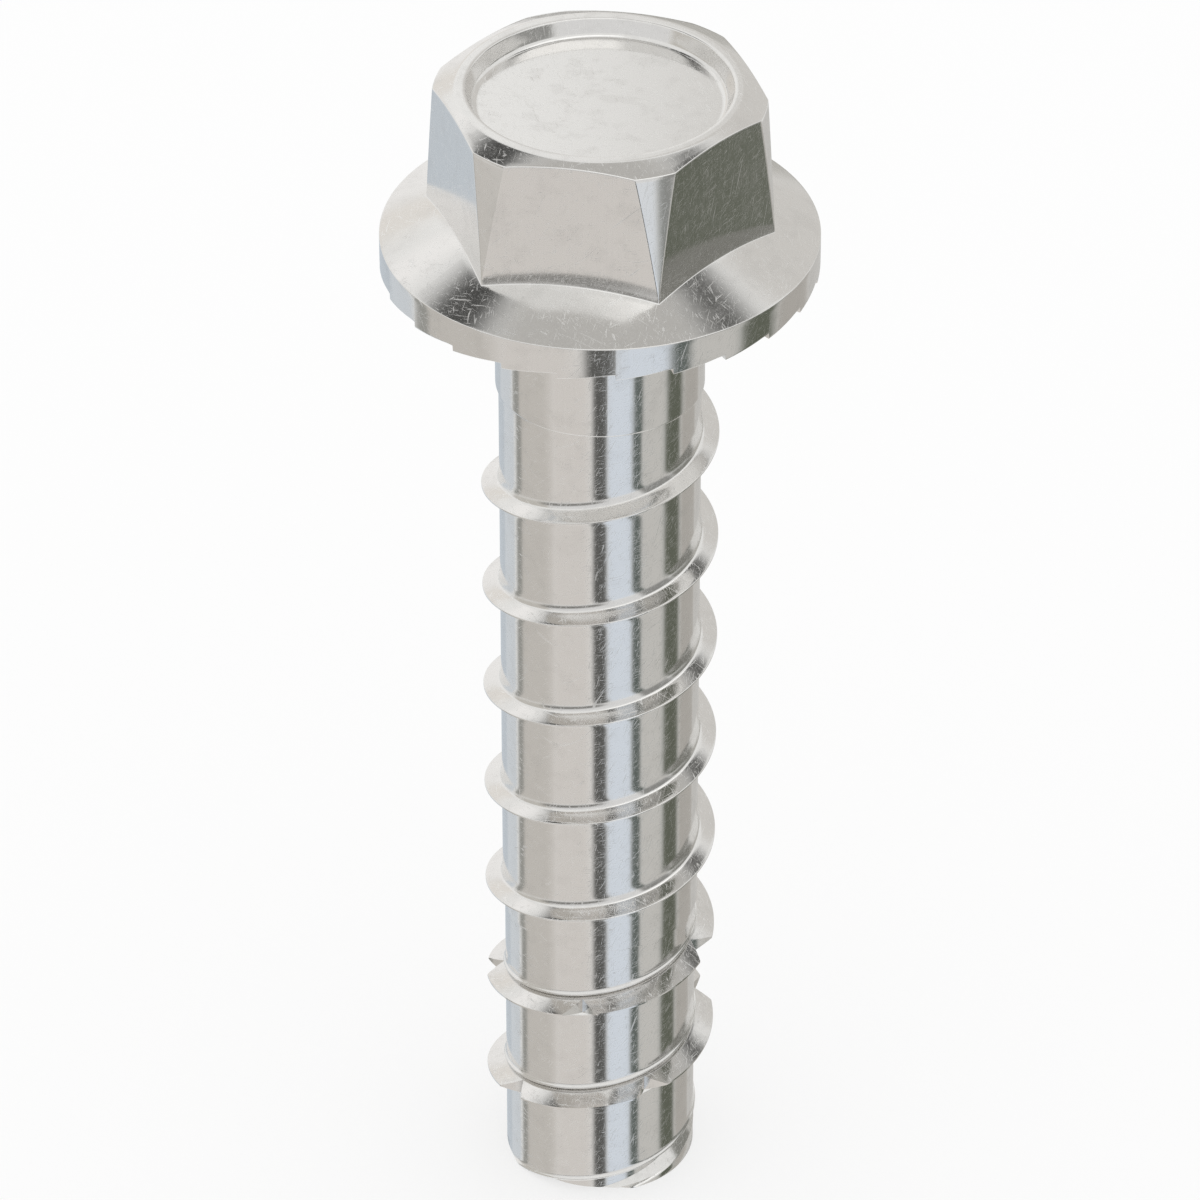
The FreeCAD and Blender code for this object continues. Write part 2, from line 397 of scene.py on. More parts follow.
# %% Shank
SHANK_RADIUS = 4.80
CORE_RADIUS = 4.70
CORE_TOP = 15.27
CORE_STEP = 0.10
NECK_START = 45.57
FLANK_FOOT = 0.36
CREST_HALF = 0.04
CREST_BLEND = 0.04
SKIRT_REACH = 0.84
SKIRT_HEIGHT = 0.085
SKIRT_CAP = 1.2
SKIRT_BLEND = 0.12
THREAD_START = crest_height(2.36)
THREAD_END = crest_height(7.364)
START_FADE = 0.55
END_FADE = 1.00
SHANK_OFFSETS = [0.0, 0.022, 0.034, 0.042, 0.05, 0.09, 0.17, 0.24, 0.29, 0.32, 0.35, 0.38, 0.42, 0.48,
                 0.57, 0.69, 0.83, 0.99, 1.7]


def rolled_radius(turn, offset, height):
    """Shank radius plus the ridge: the lower of the crest's height and a flank that falls evenly from
    the crest's edge to its foot, joined to a skirt that fades out as a square, and kept under a cone
    that cuts the ridge back at either end of the thread."""
    full = CREST_RADIUS - SHANK_RADIUS
    away = np.abs(offset)
    flank = full * (FLANK_FOOT - away) / (FLANK_FOOT - CREST_HALF)
    ridge = smooth_min(flank, full, CREST_BLEND)
    inward = np.clip((SKIRT_REACH - away) / (SKIRT_REACH - FLANK_FOOT), 0, SKIRT_CAP)
    ridge = smooth_max(ridge, SKIRT_HEIGHT * inward**2, SKIRT_BLEND)
    rising = full * (height - THREAD_START) / START_FADE
    falling = full * (THREAD_END - height) / END_FADE
    limit = np.clip(np.minimum(rising, falling), 0, None)
    return SHANK_RADIUS + np.clip(np.minimum(ridge, limit), 0, None)


shank_bottom = CORE_TOP + CORE_STEP
step_rings = [(1, CREST_RADIUS, 0), (1, CORE_RADIUS, -CORE_STEP), (0, CORE_RADIUS, -CORE_STEP)]
flat_rings = [(1, CREST_RADIUS, 0), (0, CREST_RADIUS, 0)]
shank_points, shank_quads = join_grids([
    helix_skin(rolled_radius, mirrored(SHANK_OFFSETS), shank_bottom, NECK_START),
    flipped(end_rings(rolled_radius, shank_bottom, step_rings)),
    end_rings(rolled_radius, NECK_START, flat_rings),
])
make_piece("shank", shank_points, shank_quads, "screw_body", body_steel)

# %% [markdown]
# ## Tip
#
# Below the rolled thread the shank is turned down a little and carries the groove of the coil. The
# groove's upper lip is rolled over towards the coil and burnished to a bright rounded bead, so only a
# thin dark seam stays open between them. The groove runs out through the flat end of the tip.

# %% Tip
GROOVE_FLOOR = 4.25
GROOVE_DEPTH = CORE_RADIUS - GROOVE_FLOOR
GROOVE_FLOOR_HALF = 0.45
GROOVE_MOUTH_HALF = 0.65
GROOVE_TOP_TURN = 2.205
FLOOR_ROUNDING = 0.08
LIP_ROUNDING = 0.08
LIP_ABOVE = 0.53
BEAD_HEIGHT = 0.110
BEAD_PLACE = 0.67
BEAD_WIDTH = 0.105
TIP_EDGE = 0.08
EDGE_BULGE = 0.025
FLAT_RADIUS = CORE_RADIUS - TIP_EDGE
CORE_INSIDE = 15.60
TIP_OFFSETS = [0.0, 0.2, 0.40, 0.43, 0.455, 0.48, 0.52, 0.56, 0.59, 0.62, 0.65, 0.68, 0.71, 0.74, 0.77,
               0.80, 0.83, 0.86, 0.90, 0.95, 1.7]


def core_radius(turn, offset, height):
    """Core radius less a groove with a flat floor and straight sloping sides, its lips rounded, plus a
    bell-shaped bead above the upper lip, which is rolled over towards the coil and so stands nearer to
    it than the lower lip. Past the groove's top end the core is plain."""
    away = np.abs(offset)
    mouth = np.where(offset > 0, LIP_ABOVE, GROOVE_MOUTH_HALF)
    side = GROOVE_FLOOR + (away - GROOVE_FLOOR_HALF) * GROOVE_DEPTH / (mouth - GROOVE_FLOOR_HALF)
    side = smooth_max(side, GROOVE_FLOOR, FLOOR_ROUNDING)
    grooved = smooth_min(side, CORE_RADIUS, LIP_ROUNDING)
    grooved = grooved + BEAD_HEIGHT * np.exp(-((offset - BEAD_PLACE) / BEAD_WIDTH)**2)
    return np.where(turn <= GROOVE_TOP_TURN, grooved, CORE_RADIUS)


# The skin's own edge, the middle of the broken edge, the rim of the flat, a ring inside it, the centre.
tip_rings = [
    (1, CREST_RADIUS, 0),
    (1, CORE_RADIUS - EDGE_BULGE, EDGE_BULGE - TIP_EDGE),
    (1, FLAT_RADIUS, -TIP_EDGE),
    (0.6, FLAT_RADIUS, -TIP_EDGE),
    (0, FLAT_RADIUS, -TIP_EDGE),
]
tip_points, tip_quads = join_grids([
    helix_skin(core_radius, mirrored(TIP_OFFSETS), TIP_EDGE, CORE_INSIDE),
    flipped(end_rings(core_radius, TIP_EDGE, tip_rings)),
    end_rings(core_radius, CORE_INSIDE, flat_rings),
])
make_piece("tip", tip_points, tip_quads, "screw_body", body_steel)

# %% [markdown]
# ## Serrated coil
#
# The coil is a strip of harder steel. Its section has a foot in the groove and a steep triangular
# ridge, and V notches across the ridge leave teeth that cut the concrete. The section is carried along
# the helix, and at each place its top is held down to whichever is lowest: the full crest, the V of a
# notch, or the cone that the tail was ground to. The tail also narrows from above, where it is
# bevelled, and is trimmed flat at the tip. A bevel that ran out past the coil's lower wall would leave
# a fin with no thickness, so the section stops where the two meet.

# %% Coil
FOOT_FLOOR = 4.254
SHOULDER_RADIUS = 4.78
SHOULDER_BELOW = -0.42
FOOT_BELOW = (-0.446, -0.646)
FOOT_ROWS = 2
FOOT_LEAST = 0.004
CREST_BELOW = 0.0
CREST_ABOVE = 0.08
ROOT_ABOVE = 0.45
FOOT_ABOVE = 0.44
NOTCH_ANGLES = 228.0 + 80.5 * np.arange(7)
NOTCH_FLOOR = CREST_RADIUS - 0.90
NOTCH_SLOPE = 1 / math.tan(math.radians(44.0))
NOTCH_HALF_TURN = 8.70 / 360
TAIL_RADIUS = 4.72
TAIL_TOP = 1.90
TAIL_RAMP = 2.80
TAPER_START = -1.366
TAPER_FROM_TURN = -0.60
TAPER_LEAD = 2.60
BEVEL_DROP = 0.62
COIL_SETBACK = 0.02
COIL_FIRST_TURN = -0.2130
COIL_LAST_TURN = 2.2043
FLANK_ROWS = 7
CLEAR_OF_NOTCH = 0.2


def ridge_top(turn):
    """Top radius of the coil along its length: the lowest of the crest, a V round each notch whose
    sides rise evenly with the distance along the thread, and the cone of the ground tail."""
    angle = 360.0 * turn
    nearest = np.min(np.abs(angle[:, None] - NOTCH_ANGLES[None, :]), axis=1)
    arc = np.radians(nearest) * CREST_RADIUS
    notch = NOTCH_FLOOR + arc * NOTCH_SLOPE
    ground = TAIL_RADIUS + (crest_height(turn) - TAIL_TOP) * (CREST_RADIUS - TAIL_RADIUS) / TAIL_RAMP
    return np.minimum(np.minimum(notch, CREST_RADIUS), np.maximum(ground, TAIL_RADIUS))


def tail_limits(turn):
    """Largest offset and largest radius of the section at each turn. The offset is held under a taper
    that widens evenly along the tail. A bevel takes nothing off it at the groove's floor and the full
    drop from the core outwards, and the radius stops where that bevel meets the flat end of the tip or
    the coil's own lower wall."""
    widest = TAPER_START + TAPER_LEAD * (turn - TAPER_FROM_TURN)
    above_tip = crest_height(turn) + widest - COIL_SETBACK
    at_tip = GROOVE_FLOOR + GROOVE_DEPTH * above_tip / BEVEL_DROP
    reach = np.where(above_tip < BEVEL_DROP, at_tip, CREST_RADIUS)
    at_wall = [FOOT_BELOW[0], FOOT_BELOW[1] + BEVEL_DROP, SHOULDER_BELOW + BEVEL_DROP,
               CREST_BELOW + BEVEL_DROP]
    under = np.interp(widest, at_wall, [FOOT_FLOOR, CORE_RADIUS, SHOULDER_RADIUS, CREST_RADIUS])
    return widest, np.maximum(np.minimum(reach, under), FOOT_FLOOR + FOOT_LEAST)


def coil_section(turn):
    """Closed section at each turn, as radius and distance from the crest line. The flank rows share the
    height between the shoulder and the local top, so that the cut edges stay sharp. Then the limits of
    the tail are laid over it."""
    top = ridge_top(turn)
    share = np.linspace(0, 1, FLANK_ROWS)[:, None]
    low_radius = np.minimum(SHOULDER_RADIUS, top) + np.maximum(top - SHOULDER_RADIUS, 0) * share
    low_slope = (CREST_BELOW - SHOULDER_BELOW) / (CREST_RADIUS - SHOULDER_RADIUS)
    low_offset = SHOULDER_BELOW + (low_radius - SHOULDER_RADIUS) * low_slope
    high_radius = CORE_RADIUS + (top - CORE_RADIUS) * share[::-1]
    high_slope = (CREST_ABOVE - ROOT_ABOVE) / (CREST_RADIUS - CORE_RADIUS)
    high_offset = ROOT_ABOVE + (high_radius - CORE_RADIUS) * high_slope
    level = np.ones_like(turn)[None, :]
    radius = np.concatenate([FOOT_FLOOR * level, CORE_RADIUS * level, low_radius, high_radius,
                             FOOT_FLOOR * level])
    offset = np.concatenate([FOOT_BELOW[0] * level, FOOT_BELOW[1] * level, low_offset, high_offset,
                             FOOT_ABOVE * level])
    widest, largest = tail_limits(turn)
    radius = np.minimum(radius, largest)
    wall = np.interp(radius, [FOOT_FLOOR, CORE_RADIUS], FOOT_BELOW)
    low_side = np.arange(len(radius))[:, None] < FOOT_ROWS + FLANK_ROWS
    offset = np.where(low_side & (radius < CORE_RADIUS), wall, offset)
    bevel = np.clip((radius - GROOVE_FLOOR) / GROOVE_DEPTH, 0, 1)
    return radius, np.minimum(offset, widest - BEVEL_DROP * bevel)


notch_sides = np.array([-NOTCH_HALF_TURN, 0, NOTCH_HALF_TURN])
notch_turns = (NOTCH_ANGLES[:, None] / 360 + notch_sides[None, :]).ravel()
even = np.arange(COIL_FIRST_TURN, COIL_LAST_TURN, 1 / COLUMNS_PER_TURN)
from_notch = np.min(np.abs(even[:, None] - notch_turns[None, :]), axis=1)
even = even[from_notch > CLEAR_OF_NOTCH / COLUMNS_PER_TURN]
coil_turn = np.sort(np.concatenate([even, notch_turns, [COIL_LAST_TURN]]))
coil_radius, coil_offset = coil_section(coil_turn)
coil_height = np.maximum(crest_height(coil_turn)[None, :] + coil_offset, COIL_SETBACK)
coil_angle = np.broadcast_to(360.0 * coil_turn, coil_height.shape)
coil_rows = on_axis(coil_radius, coil_angle, coil_height)
coil_ends = [np.broadcast_to(coil_rows[:, i].mean(axis=0), (len(coil_rows), 3))[:, None] for i in (0, -1)]
coil_rows = np.concatenate([coil_ends[0], coil_rows, coil_ends[1]], axis=1)
coil_columns = coil_rows.transpose(1, 0, 2)
coil_quads = grid_quads(coil_columns.shape[0], coil_columns.shape[1], True)
make_piece("coil", coil_columns.reshape(-1, 3), coil_quads, "cutting_thread", coil_steel)

# %% [markdown]
# ## Faces of the head
#
# The head was forged, so all its corners are slightly soft. It is made as a profile in radius and
# height that is carried once round the axis. Each corner of the profile is a point that may depend on
# the angle: the wrench flats come nearer to the axis than the hexagon's corners, and the rim's lower
# edge climbs and drops with the ratchet teeth. Two of the corners are crossings of a side with a
# sloping face, the flange's top below and the chamfer above, and are found by stepping from one
# surface to the other until nothing moves.

# %% Faces of the head
ACROSS_FLATS = 14.2875
FLANGE_RADIUS = 10.285
RIM_TOP = 53.95
UNDERSIDE = 52.54
FLANGE_SLOPE = 0.45
FLANGE_SAG = 0.007
TOOTH_COUNT = 24
TOOTH_ANGLE = 360.0 / TOOTH_COUNT
TOOTH_DEPTH = 0.28
TOOTH_INNER = 7.40
TOOTH_REACH = 10.885
CORNER_AT_FLANGE = (8.26, 54.841)
CORNER_AT_TOP = (7.75, 61.31)
CORNER_BLEND = 0.02
HEAD_TOP = 61.73
CHAMFER_SLOPE = 0.40
RIM_OUTER = 6.70
EVEN_ANGLE = 2.5
NEAR_CORNER = 9.0
CORNER_ANGLE = 0.25
STEP_HALF = 0.05
CLEAR_OF_STEP = 0.1
FOOT_GUESS = 55.0
CHAMFER_GUESS = 61.4
SOLVE_ROUNDS = 40


def head_angles():
    """Angles of the columns: every two and a half degrees, four to a degree near the hexagon's corners,
    and a close pair at each tooth's step."""
    everywhere = np.arange(0, 360, EVEN_ANGLE)
    round_corner = np.arange(-NEAR_CORNER, NEAR_CORNER + CORNER_ANGLE / 2, CORNER_ANGLE)
    corners = (60.0 * np.arange(6)[:, None] + round_corner[None, :]).ravel()
    pair = np.array([-STEP_HALF, STEP_HALF])
    steps = (TOOTH_ANGLE * np.arange(TOOTH_COUNT)[:, None] + pair[None, :]).ravel()
    plain = np.concatenate([everywhere, corners]) % 360
    from_step = np.abs((plain + TOOTH_ANGLE / 2) % TOOTH_ANGLE - TOOTH_ANGLE / 2)
    plain = plain[from_step > CLEAR_OF_STEP]
    return np.unique(np.round(np.concatenate([plain, steps % 360]), 4))


def side_radius(angle, height):
    """The wrench flat's distance from the axis in that direction, or the cone that relieves the
    corner where that is nearer, with the edge between them rounded."""
    from_corner = np.abs((angle + 30) % 60 - 30)
    flat = ACROSS_FLATS / 2 / np.cos(np.radians(30 - from_corner))
    slope = (CORNER_AT_TOP[0] - CORNER_AT_FLANGE[0]) / (CORNER_AT_TOP[1] - CORNER_AT_FLANGE[1])
    cone = CORNER_AT_FLANGE[0] + (height - CORNER_AT_FLANGE[1]) * slope
    return smooth_min(flat, cone, CORNER_BLEND)


def flange_top(radius):
    """The flange's top rises towards the head a little less than evenly."""
    inward = FLANGE_RADIUS - radius
    return RIM_TOP + FLANGE_SLOPE * inward - FLANGE_SAG * inward**2


def chamfer_top(radius):
    """The chamfer falls evenly from the flat ring on top of the head."""
    return HEAD_TOP - (radius - RIM_OUTER) * CHAMFER_SLOPE


def tooth_drop(angle, radius):
    """Depth of a ratchet tooth under the flange. Each tooth is a sloping triangle: deepest at its own
    edge and at the rim, and nothing along the line from its inner point to the next tooth's rim."""
    within = np.radians(angle % TOOTH_ANGLE)
    step = math.radians(TOOTH_ANGLE)
    line_x = TOOTH_REACH * math.cos(step) - TOOTH_INNER
    line_y = TOOTH_REACH * math.sin(step)

    def from_line(x, y):
        """Cross product of the line and the way from its inner point to x and y."""
        return line_x * y - line_y * (x - TOOTH_INNER)

    share = from_line(radius * np.cos(within), radius * np.sin(within)) / from_line(TOOTH_REACH, 0.0)
    full = TOOTH_DEPTH * (TOOTH_REACH - TOOTH_INNER) / (FLANGE_RADIUS - TOOTH_INNER)
    return full * np.maximum(share, 0)


def crossing(height_of, guess, angle):
    """Height where a side of the head meets a sloping face, found by taking the radius of one and the
    height of the other in turn, half way each time."""
    height = np.full(angle.shape, guess)
    for _ in range(SOLVE_ROUNDS):
        height = 0.5 * height + 0.5 * height_of(side_radius(angle, height))
    return height


angle = head_angles()
base_height = crossing(flange_top, FOOT_GUESS, angle)
chamfer_height = crossing(chamfer_top, CHAMFER_GUESS, angle)
print("hexagon foot between", round(float(base_height.min()), 3), "and", round(float(base_height.max()), 3),
      "mm; chamfer starts between", round(float(chamfer_height.min()), 3), "and",
      round(float(chamfer_height.max()), 3), "mm")

# %% [markdown]
# ## Profile of the head
#
# The profile starts on the axis inside the shank, runs up the neck, out under the flange, over the rim,
# up the hexagon and down into the recess, and ends on the axis again. A corner is rounded by a short
# curve that leaves one side and lands on the other, with the corner itself as its control point.
# Between two roundings, plain rows keep a little clear of both.

# %% Head
NECK_RADIUS = 4.95
NECK_EDGE = 45.67
NECK_FLARE = 0.30
RECESS_RADIUS = 6.20
RECESS_FOOT = (5.94, 60.99)
RECESS_FLOOR = (5.78, 60.87)
ARC_ROWS = 5
HIDDEN_DEPTH = 0.2
HIDDEN_INSET = 0.01

# Distance from each corner to where its rounding starts and ends.
ROUNDING = {
    "neck": 0.07,
    "rim foot": 0.05,
    "rim top": 0.03,
    "hexagon foot": 0.05,
    "chamfer": 0.05,
    "top outside": 0.08,
    "top inside": 0.07,
    "recess foot": 0.08,
    "recess floor": 0.09,
}
# Distances that plain rows keep from the corner before them and from the corner after.
CLEAR = {
    "neck step": (0.04, 0.03),
    "neck": (0.1, 0.2),
    "rim": (0.1, 0.12),
    "flange": (0.11, 0.15),
    "side": (0.16, 0.10),
    "top": (0.14, 0.10),
}
CHAMFER_SHARES = (0.3, 0.8)
UNDERSIDE_RADII = (6.3, 7.38, 7.42, 8.1, 8.8, 9.5, 10.0)
WALL_FROM = (6.17, 61.645)
WALL_TO = (5.99, 61.13)
FLOOR_FROM = 5.6
SIDE_ROWS = 64
ALONG_FLANGE = 0.15
ALONG_SIDE = 0.5
ones = np.ones_like(angle)


def ring(radius, height):
    """A point of the profile that is the same all round."""
    return np.stack([radius * ones, height * ones])


def on_underside(radius):
    """A point of the profile under the flange, where the teeth hang down."""
    return np.stack([radius * ones, UNDERSIDE - tooth_drop(angle, radius * ones)])


def on_flange(radius):
    """A point of the profile on top of the flange."""
    return np.stack([radius, flange_top(radius)])


def on_side(height):
    """A point of the profile on the hexagon's side."""
    return np.stack([side_radius(angle, height), height])


def row(point):
    """One row of points through a point of the profile."""
    return np.stack(point, axis=-1)[None]


def straight(start, end, rows, bend=None):
    """Rows from one profile point to the next, without its last. A bend replaces the heights by those
    of a given curve over the radius."""
    share = np.linspace(0, 1, rows, endpoint=False)[:, None]
    radius = start[0] + (end[0] - start[0]) * share
    height = start[1] + (end[1] - start[1]) * share
    return np.stack([radius, height if bend is None else bend(radius)], axis=-1)


def rounded(before, corner, after, size):
    """Rows of a curve that starts at size from the corner on the first side and ends at size from it
    on the second, pulled towards the corner: a quadratic curve with the corner as control point."""
    def towards(point):
        """Unit step from the corner to a point."""
        run = np.stack([point[0] - corner[0], point[1] - corner[1]])
        return run / np.hypot(run[0], run[1])
    first = [corner[i] + towards(before)[i] * size for i in (0, 1)]
    last = [corner[i] + towards(after)[i] * size for i in (0, 1)]
    share = np.linspace(0, 1, ARC_ROWS)[:, None]
    rows = [(1 - share)**2 * first[i] + 2 * share * (1 - share) * corner[i] + share**2 * last[i]
            for i in (0, 1)]
    return np.stack(rows, axis=-1)


hidden_edge = ring(SHANK_RADIUS - HIDDEN_INSET, NECK_START - HIDDEN_DEPTH)
neck_low = ring(SHANK_RADIUS, NECK_START)
neck_high = ring(NECK_RADIUS, NECK_EDGE)
neck_top = ring(NECK_RADIUS, UNDERSIDE - NECK_FLARE)
neck_corner = ring(NECK_RADIUS, UNDERSIDE)
flare = ring(NECK_RADIUS + NECK_FLARE, UNDERSIDE)
neck_rows = [
    row(ring(0.0, NECK_START - HIDDEN_DEPTH)),
    row(hidden_edge),
    straight(neck_low,
             ring(NECK_RADIUS - CLEAR["neck step"][0], NECK_EDGE - CLEAR["neck step"][1]), rows=2),
    rounded(neck_low, neck_high, neck_top, ROUNDING["neck"]),
    straight(ring(NECK_RADIUS, NECK_EDGE + CLEAR["neck"][0]),
             ring(NECK_RADIUS, UNDERSIDE - NECK_FLARE - CLEAR["neck"][1]), rows=8),
    rounded(neck_high, neck_corner, flare, NECK_FLARE),
]

base = on_side(base_height)
flange_inward = base[0] + (FLANGE_RADIUS - base[0]) * ALONG_FLANGE
flange_start = on_flange(FLANGE_RADIUS - CLEAR["flange"][0] * ones)
flange_end = on_flange(base[0] + CLEAR["flange"][1])
rim_low = on_underside(FLANGE_RADIUS)
rim_high = ring(FLANGE_RADIUS, RIM_TOP)
flange_rows = [
    np.concatenate([row(on_underside(radius)) for radius in UNDERSIDE_RADII]),
    rounded(on_underside(UNDERSIDE_RADII[-1]), rim_low, rim_high, ROUNDING["rim foot"]),
    straight(np.stack([rim_low[0], rim_low[1] + CLEAR["rim"][0]]),
             ring(FLANGE_RADIUS, RIM_TOP - CLEAR["rim"][1]), rows=8),
    rounded(rim_low, rim_high, flange_start, ROUNDING["rim top"]),
    straight(flange_start, flange_end, rows=14, bend=flange_top),
    rounded(on_flange(flange_inward), base, on_side(base_height + ALONG_SIDE), ROUNDING["hexagon foot"]),
]

chamfer = on_side(chamfer_height)
outer_rim = ring(RIM_OUTER, HEAD_TOP)
inner_rim = ring(RECESS_RADIUS, HEAD_TOP)
side_share = np.linspace(0, 1, SIDE_ROWS + 2)[1:-1, None]
side_run = chamfer_height - base_height - sum(CLEAR["side"])
side_height = base_height + CLEAR["side"][0] + side_run * side_share
side_rows = [
    np.stack([side_radius(angle[None, :], side_height), side_height], axis=-1),
    rounded(on_side(chamfer_height - ALONG_SIDE), chamfer, outer_rim, ROUNDING["chamfer"]),
    straight(*[chamfer + share * (outer_rim - chamfer) for share in CHAMFER_SHARES], rows=4),
    rounded(chamfer, outer_rim, inner_rim, ROUNDING["top outside"]),
    straight(ring(RIM_OUTER - CLEAR["top"][0], HEAD_TOP), ring(RECESS_RADIUS + CLEAR["top"][1], HEAD_TOP),
             rows=3),
]

recess_foot = ring(*RECESS_FOOT)
recess_edge = ring(*RECESS_FLOOR)
centre = ring(0.0, RECESS_FLOOR[1])
recess_rows = [
    rounded(outer_rim, inner_rim, recess_foot, ROUNDING["top inside"]),
    straight(ring(*WALL_FROM), ring(*WALL_TO), rows=6),
    rounded(inner_rim, recess_foot, recess_edge, ROUNDING["recess foot"]),
    rounded(recess_foot, recess_edge, centre, ROUNDING["recess floor"]),
    straight(ring(FLOOR_FROM, RECESS_FLOOR[1]), centre, rows=6),
    row(centre),
]

profile = np.concatenate(neck_rows + flange_rows + side_rows + recess_rows)
row_count, column_count = profile.shape[:2]
head_points = on_axis(profile[..., 0], np.broadcast_to(angle, (row_count, column_count)), profile[..., 1])
head_quads = grid_quads(row_count, column_count, True)
make_piece("head", head_points.reshape(-1, 3), head_quads, "screw_body", head_steel)

# %% [markdown]
# ## Light tent
#
# Bright metal shows its surroundings more than its own colour, so a product photographer surrounds it
# with a white tent and stands a few grey cards in it. The cards draw the long upright bands on the
# shank. The tent here is one big sphere that only reflections see. Its brightness is worked out per
# point from two angles: the bearing round the screw, counted from the camera, and the elevation.

# %% Tent
CAMERA_BEARING = -79.0
TENT_RADIUS = 0.8
TENT_CENTRE_HEIGHT = 0.030
TENT_COLUMNS = 720
TENT_ROWS = 121
SKY = (0.90, 0.90, 0.89)

# Each card: middle and half width in bearing, edge softness, lowest and highest elevation, edge softness,
# all in degrees, and its colour.
LOW_CARDS = [
    (-160, 22, 4, -80, -20, 8, (0.57, 0.62, 0.67)),
    (-128, 13, 5, -80, -20, 8, (0.68, 0.72, 0.76)),
    (-80, 26, 8, -80, -20, 8, (0.61, 0.585, 0.55)),
    (-34, 24, 20, -80, -20, 8, (0.73, 0.70, 0.67)),
    (-106, 5, 6, -80, -20, 8, (0.33, 0.33, 0.31)),
    (0, 8, 7, -80, -20, 8, (0.115, 0.115, 0.11)),
    (23, 14, 6, -80, -20, 8, (0.75, 0.81, 0.89)),
    (43, 6, 6, -80, -20, 8, (0.12, 0.14, 0.13)),
    (63, 14, 7, -80, -20, 8, (0.62, 0.61, 0.585)),
    (91, 13, 10, -80, -20, 8, (0.13, 0.14, 0.11)),
    (122, 17, 10, -80, -20, 8, (0.47, 0.45, 0.42)),
    (159, 20, 8, -80, -20, 8, (0.58, 0.57, 0.55)),
]
LEVEL_CARDS = [
    (-12, 48, 10, -18, 20, 8, (0.80, 0.80, 0.80)),
    (57, 18, 8, -22, 14, 8, (0.30, 0.30, 0.29)),
    (92, 16, 8, -18, 20, 8, (0.26, 0.26, 0.24)),
    (142, 36, 8, -18, 6, 8, (0.52, 0.51, 0.48)),
    (-85, 24, 8, -18, 20, 8, (0.60, 0.58, 0.54)),
    (-145, 34, 8, -6, 14, 8, (0.96, 0.95, 0.94)),
    (180, 9, 4, -12, -7, 3, (0.36, 0.35, 0.33)),
    (-34, 34, 16, -17, -8, 6, (0.22, 0.215, 0.205)),
    (140, 16, 8, -24, -4, 6, (0.93, 0.93, 0.92)),
]
HIGH_CARDS = [
    (-158, 24, 8, 15, 26, 6, (0.87, 0.84, 0.80)),
    (-150, 16, 8, 33, 42, 6, (1.02, 1.01, 1.00)),
    (156, 23, 4, 6, 50, 10, (0.70, 0.685, 0.66)),
    (-165, 15, 4, 26, 38, 8, (0.98, 0.98, 0.97)),
    (45, 75, 20, 56, 76, 8, (1.30, 1.30, 1.29)),
    (180, 90, 16, 66, 90, 10, (0.54, 0.53, 0.51)),
    (-137, 22, 16, 49, 64, 10, (0.07, 0.07, 0.068)),
    (128, 16, 14, 55, 66, 9, (0.12, 0.12, 0.115)),
]
UNDER_CARDS = [
    (0, 181, 1, -91, -56, 10, (1.0, 1.0, 0.99)),
]


def card_cover(bearing, elevation, card):
    """Share of a card at each direction: full inside, and falling to nothing across its soft edges as
    three times the square of the even share less twice its cube."""
    middle, half_width, side_soft, low, high, level_soft = card[:6]
    away = np.abs((bearing - middle + 180) % 360 - 180)
    across = np.clip((half_width + side_soft / 2 - away) / side_soft, 0, 1)
    above = np.clip((elevation - low) / level_soft + 0.5, 0, 1)
    below = np.clip((high - elevation) / level_soft + 0.5, 0, 1)
    share = across * above * below
    return (share * share * (3 - 2 * share))[..., None]


def tent_light(bearing, elevation):
    """Colour of the tent: an even sky, with each card laid over what came before it."""
    colour = np.ones(bearing.shape + (1,)) * np.array(SKY)
    for card in LOW_CARDS + LEVEL_CARDS + HIGH_CARDS + UNDER_CARDS:
        cover = card_cover(bearing, elevation, card)
        colour = colour * (1 - cover) + np.array(card[6]) * cover
    return colour


tent_bearing = np.linspace(-180, 180, TENT_COLUMNS + 1)[None, :-1]
tent_elevation = np.linspace(-90, 90, TENT_ROWS)[:, None]
bearing_grid, elevation_grid = np.broadcast_arrays(tent_bearing, tent_elevation)
tent_points = on_axis(TENT_RADIUS * np.cos(np.radians(elevation_grid)), bearing_grid + CAMERA_BEARING,
                      TENT_CENTRE_HEIGHT + TENT_RADIUS * np.sin(np.radians(elevation_grid)))
tent_mesh = bpy.data.meshes.new("tent")
tent_quads = grid_quads(*bearing_grid.shape, True)
tent_mesh.from_pydata(tent_points.reshape(-1, 3).tolist(), [], tent_quads.tolist())
light_values = np.ones((bearing_grid.size, 4), dtype=np.float32)
light_values[:, :3] = tent_light(bearing_grid, elevation_grid).reshape(-1, 3)
light_attribute = tent_mesh.attributes.new("light", "FLOAT_COLOR", "POINT")
light_attribute.data.foreach_set("color", light_values.ravel())

tent_material = bpy.data.materials.new("tent_light")
tent_material.use_nodes = True
tent_tree = tent_material.node_tree
tent_tree.nodes.clear()
tent_colour = tent_tree.nodes.new("ShaderNodeAttribute")
tent_colour.attribute_name = "light"
tent_glow = tent_tree.nodes.new("ShaderNodeEmission")
tent_output = tent_tree.nodes.new("ShaderNodeOutputMaterial")
tent_tree.links.new(tent_colour.outputs["Color"], tent_glow.inputs["Color"])
tent_tree.links.new(tent_glow.outputs["Emission"], tent_output.inputs["Surface"])
tent_mesh.materials.append(tent_material)

tent = bpy.data.objects.new("tent", tent_mesh)
bpy.context.scene.collection.objects.link(tent)
tent.visible_camera = False
tent.visible_diffuse = False
tent.visible_shadow = False
tent.visible_transmission = False
print("tent points:", bearing_grid.size)

